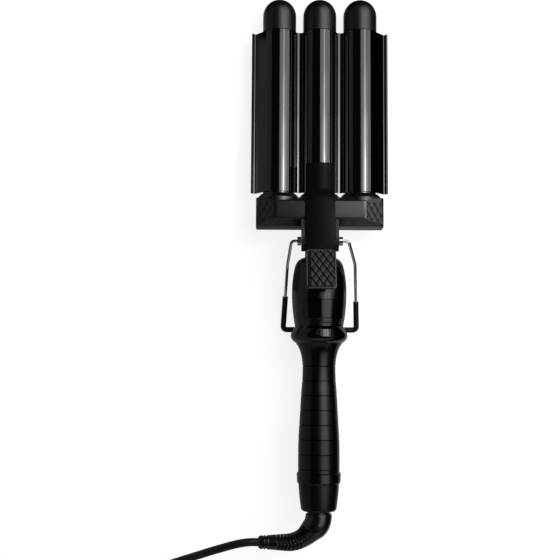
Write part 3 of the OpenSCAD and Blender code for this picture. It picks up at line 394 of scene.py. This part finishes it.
# Distance along the strain relief, and its radius there
RELIEF_PROFILE = [(0, 8.9), (0.6, 8.9), (0.9, 10.0), (1.5, 10.3), (9, 10.3), (12.5, 9.9),
                  (18, 8.5), (24, 7.4), (30, 7.05), (35, 6.8), (41, 6.3), (47, 5.85), (51.4, 5.5),
                  (52, 5.6), (52.7, 5.5), (53.1, 4.7), (53.7, 4.7), (54.1, 5.4), (55.1, 5.4),
                  (55.4, 4.8), (55.9, 4.8), (56.2, 5.3), (58.2, 5.1), (59.6, 4.2)]
# Slots between the ribs: distance along to the first one's middle, pitch, number and depth
SLOT_FIRST = 16.56
SLOT_PITCH = 2.64
SLOT_COUNT = 11
SLOT_DEPTH = 1.7
# The outer side of the bend leaves out the slots before this one
OUTER_FROM = 4
# Places across the strain relief run from -1 at the bend's inner side to 1 at its outer side:
# the spine that parts the slots, its half width, and where the slots of each side end
SPINE = 0.2
SPINE_HALF = 0.06
INNER_END = -0.97
OUTER_END = 0.95
# Width across over which a slot comes to its full depth beside the spine, and at its end
SPINE_FADE = 0.08
END_FADE = 0.06
# How far the slots of each side lean along, at this distance across from the spine
INNER_LEAN = 1.9
INNER_LEAN_AT = 1.2
OUTER_LEAN = 1.2
OUTER_LEAN_AT = 0.65


def relief_place(s):
    """The route's point at distance s from its start, and its outer side there."""
    x, y = RELIEF_START
    out = Vector((1, 0))
    for length, radius in RELIEF_LEGS:
        part = min(s, length)
        if radius:
            turned = Matrix.Rotation(-part / radius, 2) @ out
            x, y = x + radius * (turned.x - out.x), y + radius * (turned.y - out.y)
            out = turned
        else:
            x, y = x + part * out.y, y - part * out.x
        s -= part
    return (x, y), out


def relief_radius(s):
    """Radius on the profile's straight lines."""
    for (s0, r0), (s1, r1) in zip(RELIEF_PROFILE, RELIEF_PROFILE[1:]):
        if s <= s1:
            return r0 + (r1 - r0) * (s - s0) / (s1 - s0)
    return RELIEF_PROFILE[-1][1]


def slot_cut(s, across):
    """Depth of the slots, which lean away from the spine, at s along and at that place across."""
    if across < SPINE:
        lean = INNER_LEAN * (SPINE - across) / INNER_LEAN_AT
        first, end = 0, INNER_END
    else:
        lean = OUTER_LEAN * (across - SPINE) / OUTER_LEAN_AT
        first, end = OUTER_FROM, OUTER_END
    nearest = min(abs(s - SLOT_FIRST - lean - k * SLOT_PITCH) for k in range(first, SLOT_COUNT))
    along = math.cos(math.pi * min(nearest / SLOT_PITCH, 0.5)) ** 2
    from_spine = min(max((abs(across - SPINE) - SPINE_HALF) / SPINE_FADE, 0), 1)
    from_end = min(abs(end - across) / END_FADE, 1) if abs(across) < abs(end) else 0
    return SLOT_DEPTH * along * from_spine * from_end


def build_relief(work):
    """Rings along the bent route, with slots cut into both sides."""
    sides, step = 72, 0.25
    count = int(RELIEF_LENGTH / step)
    rings = []
    for i in range(count + 1):
        s = RELIEF_LENGTH * i / count
        (x, y), side = relief_place(s)
        ring = []
        for k in range(sides):
            angle = math.tau * k / sides
            across, height = math.cos(angle), math.sin(angle)
            r = relief_radius(s) - slot_cut(s, across)
            ring.append(work.verts.new(laid(x + r * across * side[0], y + r * across * side[1],
                                            r * height)))
        rings.append(ring)
    for a, b in zip(rings, rings[1:]):
        for k in range(sides):
            work.faces.new((a[k], b[k], b[(k + 1) % sides], a[(k + 1) % sides]))
    for ring in (rings[0], rings[-1]):
        work.faces.new(ring)


relief = mesh_piece("ribbed_relief", build_relief, "relief_rubber", "cord_set")
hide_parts("strain_relief")

# ---- Diamond relief on the thumb pad and the housing's end bevels ----

DIAMOND_W = 5.75
DIAMOND_L = 8.6
# Share of a crease's width at which its side bends
CREASE_BEND = 0.4


def diamond_lines(low, high, width):
    """Lattice lines over whole numbers from low to high, closer together at each one."""
    steps = (-0.5, -width, -CREASE_BEND * width, 0, CREASE_BEND * width, width)
    return [k + step for k in range(math.floor(low), math.ceil(high) + 1) for step in steps]


def diamond_height(place, width, height):
    """Height beside the nearest crease; a crease runs along each whole number."""
    away = abs(place - round(place))
    rounding = 0.001
    knots = [(0, 1), (CREASE_BEND * width, 0.8), (width, 0.03), (0.5, 0)]
    for (t0, h0), (t1, h1) in zip(knots, knots[1:]):
        if away <= t1 + rounding:
            return height * (h0 + (h1 - h0) * (away - t0) / (t1 - t0))
    return 0


def diamond_sheet(work, place, corners, creases, level, skirt):
    """Two families of crossing creases over a convex outline, closed down by a skirt.

    place turns a point of the sheet into one of the scene, creases gives each family's width in
    diamonds and height, level is the ground's height and skirt the depth of the underside."""
    (width_a, height_a), (width_b, height_b) = creases
    ends = [(x / DIAMOND_W + y / DIAMOND_L, x / DIAMOND_W - y / DIAMOND_L) for x, y in corners]
    lines_a = diamond_lines(min(a for a, b in ends), max(a for a, b in ends), width_a)
    lines_b = diamond_lines(min(b for a, b in ends), max(b for a, b in ends), width_b)
    sheet = bmesh.new()
    grid = [[sheet.verts.new(((a + b) / 2 * DIAMOND_W, (a - b) / 2 * DIAMOND_L,
                              level + diamond_height(a, width_a, height_a)
                              + diamond_height(b, width_b, height_b)))
             for b in lines_b] for a in lines_a]
    for i in range(len(lines_a) - 1):
        for k in range(len(lines_b) - 1):
            sheet.faces.new((grid[i][k], grid[i + 1][k], grid[i + 1][k + 1], grid[i][k + 1]))
    for (x0, y0), (x1, y1) in zip(corners, corners[1:] + corners[:1]):
        geometry = sheet.verts[:] + sheet.edges[:] + sheet.faces[:]
        bmesh.ops.bisect_plane(sheet, geom=geometry, plane_co=(x0, y0, 0),
                               plane_no=(y1 - y0, x0 - x1, 0), clear_outer=True)
    border = [edge for edge in sheet.edges if edge.is_boundary]
    pulled = bmesh.ops.extrude_edge_only(sheet, edges=border)["geom"]
    for vert in {v for v in pulled if isinstance(v, bmesh.types.BMVert)}:
        vert.co.z = -skirt
    bottom = [edge for edge in sheet.edges if edge.is_boundary]
    bmesh.ops.contextual_create(sheet, geom=bottom)
    copies = {vert: work.verts.new(place(*vert.co)) for vert in sheet.verts}
    for face in sheet.faces:
        work.faces.new([copies[vert] for vert in face.verts])
    sheet.free()


PAD_W = 24
PAD_T = 1.6
# Where the pad starts along the tool, and how far behind the hinge pin it ends
PAD_Y0 = -7.6
PAD_REACH = 39.6
# Start and run of the lever's tail under the pad, its rise over that run, and the seat on it
TAIL_START = (-11, 25.5)
TAIL_RUN = 26.6
TAIL_RISE = 11.5
PAD_SEAT = 0.05
PAD_SLOPE = math.atan2(TAIL_RISE, TAIL_RUN)
PAD_Z0 = TAIL_START[1] - TAIL_RISE * (PAD_Y0 - TAIL_START[0]) / TAIL_RUN + PAD_SEAT
PAD_LEN = (PAD_REACH + PAD_Y0) / math.cos(PAD_SLOPE)
# Width and height of the raised rim, radius of the pad's corners outside and at the least
# inside, and depth of the recess in the rim
PAD_RIM = 1.9
PAD_RIM_H = 0.5
PAD_CORNER = 3
PAD_INNER_CORNER = 1.2
PAD_RECESS = 0.8
# The field of diamonds: reach under the rim, cut corners, bare strip on the picture's left,
# shift of the pattern, height of its zero over the pad's plate, of its ground over that, and
# depth of its underside below it
FIELD_TUCK = 0.25
FIELD_CUT = 0.9
FIELD_STRIP = 2.9
FIELD_SHIFT = 1.7
FIELD_ZERO = -0.15
FIELD_GROUND = 0.6
FIELD_SKIRT = 1.1
# Width in diamonds and height of its creases: deep slots one way, faint lines the other
FIELD_CREASES = ((0.12, -1.15), (0.06, -0.025))
# Section of the wedge in the bare strip: place across from the field's edge, and height
WEDGE = ((2.8, -0.9), (2.8, -0.5), (-0.05, 0.45), (-0.05, -0.9))


def on_pad(u, v, h):
    """A point of the thumb pad: u across, v up the slope towards the tail, h out of its face."""
    return laid(-u, PAD_Y0 - v * math.cos(PAD_SLOPE) + h * math.sin(PAD_SLOPE),
                PAD_Z0 + v * math.sin(PAD_SLOPE) + h * math.cos(PAD_SLOPE))


def rounded(x0, y0, x1, y1, r, n=8):
    """Rectangle with round corners, anticlockwise."""
    points = []
    for cx, cy, start in ((x1 - r, y1 - r, 0), (x0 + r, y1 - r, 90), (x0 + r, y0 + r, 180),
                          (x1 - r, y0 + r, 270)):
        for i in range(n + 1):
            angle = math.radians(start + 90 * i / n)
            points.append((cx + r * math.cos(angle), cy + r * math.sin(angle)))
    return points


def build_pad(work):
    """Moulded plate with a rounded, raised rim round a field of diamonds."""
    top = PAD_T + PAD_RIM_H
    # Inset from the outline, and height: up the side, over the rim and down into the recess
    sections = [(0, 0), (0, top - 0.6), (0.18, top - 0.18), (0.6, top), (PAD_RIM - 0.5, top),
                (PAD_RIM - 0.15, top - 0.12), (PAD_RIM, PAD_T - PAD_RECESS)]
    loops = []
    for inset, height in sections:
        outline = rounded(-PAD_W / 2 + inset, inset, PAD_W / 2 - inset, PAD_LEN - inset,
                          max(PAD_CORNER - inset, PAD_INNER_CORNER))
        loops.append([work.verts.new(on_pad(u, v, height)) for u, v in outline])
    count = len(loops[0])
    for a, b in zip(loops, loops[1:]):
        for k in range(count):
            work.faces.new((a[k], a[(k + 1) % count], b[(k + 1) % count], b[k]))
    work.faces.new(loops[0])
    work.faces.new(loops[-1])
    edge, cut = PAD_RIM - FIELD_TUCK, FIELD_CUT
    left, right = PAD_W / 2 - edge - FIELD_STRIP, edge - PAD_W / 2
    v0, v1 = edge, PAD_LEN - edge
    corners = [(right + cut, v0), (left - cut, v0), (left, v0 + cut), (left, v1 - cut),
               (left - cut, v1), (right + cut, v1), (right, v1 - cut), (right, v0 + cut)]
    diamond_sheet(work, lambda x, y, z: on_pad(x + FIELD_SHIFT, y, PAD_T + FIELD_ZERO + z),
                  [(x - FIELD_SHIFT, y) for x, y in corners],
                  FIELD_CREASES, FIELD_GROUND, FIELD_SKIRT)
    wedge = [work.verts.new(on_pad(left + u, v, PAD_T + h)) for v in (v0 + cut, v1 - cut)
             for u, h in WEDGE]
    work.faces.new(wedge[:4])
    work.faces.new(wedge[4:])
    for k in range(4):
        work.faces.new((wedge[k], wedge[(k + 1) % 4], wedge[(k + 1) % 4 + 4], wedge[k + 4]))


pad = mesh_piece("diamond_pad", build_pad, "pad_plastic", "clamp")
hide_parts("thumb_pad")

# The cross housing: its width, the width of its flat front, its depth and that of its end walls
HOUSING_W = 101.3
HOUSING_FLAT_W = 71
HOUSING_DEPTH = 38
HOUSING_EDGE = 21
# Upper and lower edge of its front end bevels in the tool frame, and their length down the slope
BEVEL_X0, BEVEL_Z0 = HOUSING_FLAT_W / 2, HOUSING_DEPTH / 2
BEVEL_X1, BEVEL_Z1 = HOUSING_W / 2, HOUSING_EDGE / 2
BEVEL_RUN = math.hypot(BEVEL_X1 - BEVEL_X0, BEVEL_Z0 - BEVEL_Z1)
# Corners of a bevel's field of diamonds: down the slope, and along the tool
BEVEL_FIELD = [(1.3, 18.6), (BEVEL_RUN - 1.4, 14.1), (BEVEL_RUN - 1.4, 31.3), (1.3, 31.3)]
# Width in diamonds of its creases, and their height on the left and on the right bevel
BEVEL_CREASE_W = 0.16
BEVEL_CREASE_H = {-1: 0.24, 1: 0.48}
# Height of the field's zero over the bevel and of its ground over that, and depth of its
# underside
BEVEL_ZERO = -0.05
BEVEL_GROUND = 0.1
BEVEL_SKIRT = 0.3


def on_bevel(side, u, y, h):
    """A point of the end bevel: u outwards down its slope, y along the tool, h out of it."""
    down = ((BEVEL_X1 - BEVEL_X0) / BEVEL_RUN, (BEVEL_Z1 - BEVEL_Z0) / BEVEL_RUN)
    return laid(side * (BEVEL_X0 + u * down[0] - h * down[1]), y,
                BEVEL_Z0 + u * down[1] + h * down[0])


def build_bevels(work):
    """Diamond fields on both front end bevels, inside their mitres."""
    for side, height in BEVEL_CREASE_H.items():
        diamond_sheet(work, lambda x, y, z: on_bevel(side, x, y, z + BEVEL_ZERO), BEVEL_FIELD,
                      ((BEVEL_CREASE_W, height),) * 2, BEVEL_GROUND, BEVEL_SKIRT)


mesh_piece("bevel_diamonds", build_bevels, "housing_plastic", "wand")

# ---- Floor, backdrop and light, in metres ----

# Rays that see the floor glow, which makes it the white background, and how strong the glow is
WHITE_RAYS = ("Is Camera Ray", "Is Glossy Ray", "Is Transmission Ray")
FLOOR_GLOW = 0.86
# The floor's own grey, which shows the object's shadow
FLOOR_GREY = 0.25
# Radius and height of the floor's rings, which turn up at its far edge
FLOOR_RINGS = [(0.001, 0), (2, 0), (8, 0), (11, 0.25), (12, 1.0), (12.3, 2.4)]


def make_floor():
    """A pale floor that turns up far away; it shows white to the camera and in reflections."""
    material, tree = new_material("pale_floor")
    diffuse = add(tree, "BsdfDiffuse", Color=(*grey(FLOOR_GREY), 1))
    glow = add(tree, "Emission", Color=(1, 1, 1, 1))
    rays = tree.nodes.new("ShaderNodeLightPath")
    seen = rays.outputs[WHITE_RAYS[0]]
    for name in WHITE_RAYS[1:]:
        both = add(tree, "Math")
        both.operation = "MAXIMUM"
        tree.links.new(seen, both.inputs[0])
        tree.links.new(rays.outputs[name], both.inputs[1])
        seen = both.outputs[0]
    part = add(tree, "Math")
    part.operation = "MULTIPLY"
    part.inputs[1].default_value = FLOOR_GLOW
    tree.links.new(seen, part.inputs[0])
    tree.links.new(part.outputs[0], glow.inputs["Strength"])
    both = tree.nodes.new("ShaderNodeAddShader")
    tree.links.new(diffuse.outputs[0], both.inputs[0])
    tree.links.new(glow.outputs[0], both.inputs[1])
    output = tree.nodes.new("ShaderNodeOutputMaterial")
    tree.links.new(both.outputs[0], output.inputs["Surface"])

    mesh = bpy.data.meshes.new("floor")
    work = bmesh.new()
    sides = 64
    rings = [[work.verts.new((r * math.cos(math.tau * k / sides),
                              r * math.sin(math.tau * k / sides), z))
              for k in range(sides)] for r, z in FLOOR_RINGS]
    for a, b in zip(rings, rings[1:]):
        for k in range(sides):
            work.faces.new((a[k], b[k], b[(k + 1) % sides], a[(k + 1) % sides]))
    work.faces.new(rings[0])
    bmesh.ops.recalc_face_normals(work, faces=work.faces)
    for face in work.faces:
        face.smooth = True
    work.to_mesh(mesh)
    work.free()
    floor = bpy.data.objects.new("floor", mesh)
    bpy.context.collection.objects.link(floor)
    floor.data.materials.append(material)


def area_light(name, place, aim, size, radiance):
    """A softbox of that size and radiance at place, facing aim."""
    data = bpy.data.lights.new(name, "AREA")
    data.shape = "RECTANGLE"
    data.size, data.size_y = size
    # A flat lamp of power P and area A has radiance P / (pi A), and Blender's area lamp too
    data.energy = radiance * math.pi * size[0] * size[1]
    lamp = bpy.data.objects.new(name, data)
    back = (Vector(place) - Vector(aim)).normalized()
    side = Vector((0, 1, 0)).cross(back).normalized()
    turn = Matrix((side, back.cross(side), back)).transposed().to_4x4()
    lamp.matrix_world = Matrix.Translation(place) @ turn
    bpy.context.collection.objects.link(lamp)


def leaning(away, lean):
    """x and z of a point at distance away, lean degrees from straight up towards +X."""
    return away * math.sin(math.radians(lean)), away * math.cos(math.radians(lean))


# Softboxes over the tool: distance, lean from and to towards +X, y from and to, radiance
SOFTBOXES = {
    "key": (1.5, 2.2, 68, 0.26, 2.3, 2.3),
    "key_mid": (1.5, 2.2, 60, 0.1, 0.26, 1.3),
    "key_low": (1.5, 8, 56, -0.8, 0.1, 0.75),
    "key_low_heart": (1.47, 16, 48, -0.8, 0.1, 0.95),
    "key_heart": (1.45, 24.7, 33.3, 0.28, 0.9, 3.6),
    "key_near_heart": (1.45, 18, 46, 0.0, 0.12, 1.7),
    "key_wide_1": (1.44, 14, 50, 0.3, 0.64, 0.9),
    "key_wide_2": (1.43, 14, 48, 0.3, 0.53, 1.4),
    "key_wide_3": (1.42, 16, 42, 0.3, 0.43, 2.0),
    "key_spot_1": (1.41, 25, 33, 0.3, 0.62, 1.4),
    "key_spot_2": (1.4, 25, 33, 0.3, 0.53, 3.4),
    "key_spot_3": (1.39, 26, 34, 0.3, 0.44, 8.0),
}
WORLD_STRENGTH = 0.03


def light_the_scene():
    """A wide softbox overhead to the right with a brighter heart, and a low panel behind."""
    for name, (away, lean0, lean1, y0, y1, radiance) in SOFTBOXES.items():
        x, z = leaning(away, (lean0 + lean1) / 2)
        width = 2 * away * math.tan(math.radians((lean1 - lean0) / 2))
        y = (y0 + y1) / 2
        area_light(name, (x, y, z), (0, y, 0), (width, y1 - y0), radiance)
    area_light("tail_panel", place=(0, -1.9, 0.95), aim=(0, 0, 0.03), size=(3.4, 0.5),
               radiance=0.5)
    world = bpy.data.worlds.new("studio")
    world.use_nodes = True
    background = world.node_tree.nodes["Background"]
    background.inputs["Color"].default_value = (1, 1, 1, 1)
    background.inputs["Strength"].default_value = WORLD_STRENGTH
    bpy.context.scene.world = world


# Height of the lying cards over the floor, and where the left and the near ones end
CARD_Z = 0.0006
LEFT_X = -0.2
NEAR_X = 0.066
# The cards' far ends along the tool, and the two ends of the housing's own cards
FAR_Y = 2
HOUSING_Y0 = -0.03
HOUSING_Y1 = 0.04
LEFT_CARD = [(0, CARD_Z), (LEFT_X, CARD_Z)]
NEAR_CARD = [(0, CARD_Z), (NEAR_X, CARD_Z)]
# Cards that only reflections see: strength, y from and to, outline from x, z to x, z, and how
# far the second y stands over the first
CARDS = {
    "card_left": (0.24, -FAR_Y, FAR_Y, [(LEFT_X, CARD_Z), (-1.2, 0.95)], 0),
    "card_left_bulb": (0.24, -FAR_Y, HOUSING_Y0, LEFT_CARD, 0),
    "card_left_housing": (0.08, HOUSING_Y0, HOUSING_Y1, LEFT_CARD, 0),
    "card_left_tips": (0.3, HOUSING_Y1, FAR_Y, LEFT_CARD, 0),
    "card_near_bulb": (0.45, -FAR_Y, HOUSING_Y0, NEAR_CARD, 0),
    "card_near_housing": (0.2, HOUSING_Y0, HOUSING_Y1, NEAR_CARD, 0),
    "card_near_tips": (0.3, HOUSING_Y1, FAR_Y, NEAR_CARD, 0),
    "card_right": (0.0, -FAR_Y, FAR_Y, [(NEAR_X, CARD_Z), (2.2, 0.5)], 0),
    "card_ahead": (0.0, 0.215, 2.2, [(-0.4, 2 * CARD_Z), (0.4, 2 * CARD_Z)], 0.75),
}


def make_cards():
    """Grey and black cards under, beside and beyond the tool."""
    for name, (strength, y0, y1, outline, rise) in CARDS.items():
        material, tree = new_material(name)
        glow = add(tree, "Emission", Color=(1, 1, 1, 1), Strength=strength)
        output = tree.nodes.new("ShaderNodeOutputMaterial")
        tree.links.new(glow.outputs[0], output.inputs["Surface"])
        mesh = bpy.data.meshes.new(name)
        corners = [(x, y, z + up) for x, z in outline for y, up in ((y0, 0), (y1, rise))]
        mesh.from_pydata(corners, [], [(k, k + 1, k + 3, k + 2)
                                       for k in range(0, len(corners) - 2, 2)])
        card = bpy.data.objects.new(name, mesh)
        card.visible_camera = card.visible_diffuse = card.visible_shadow = False
        card.visible_transmission = False
        card.data.materials.append(material)
        bpy.context.collection.objects.link(card)


make_cards()
make_floor()
light_the_scene()
bpy.context.scene.view_settings.view_transform = "Standard"
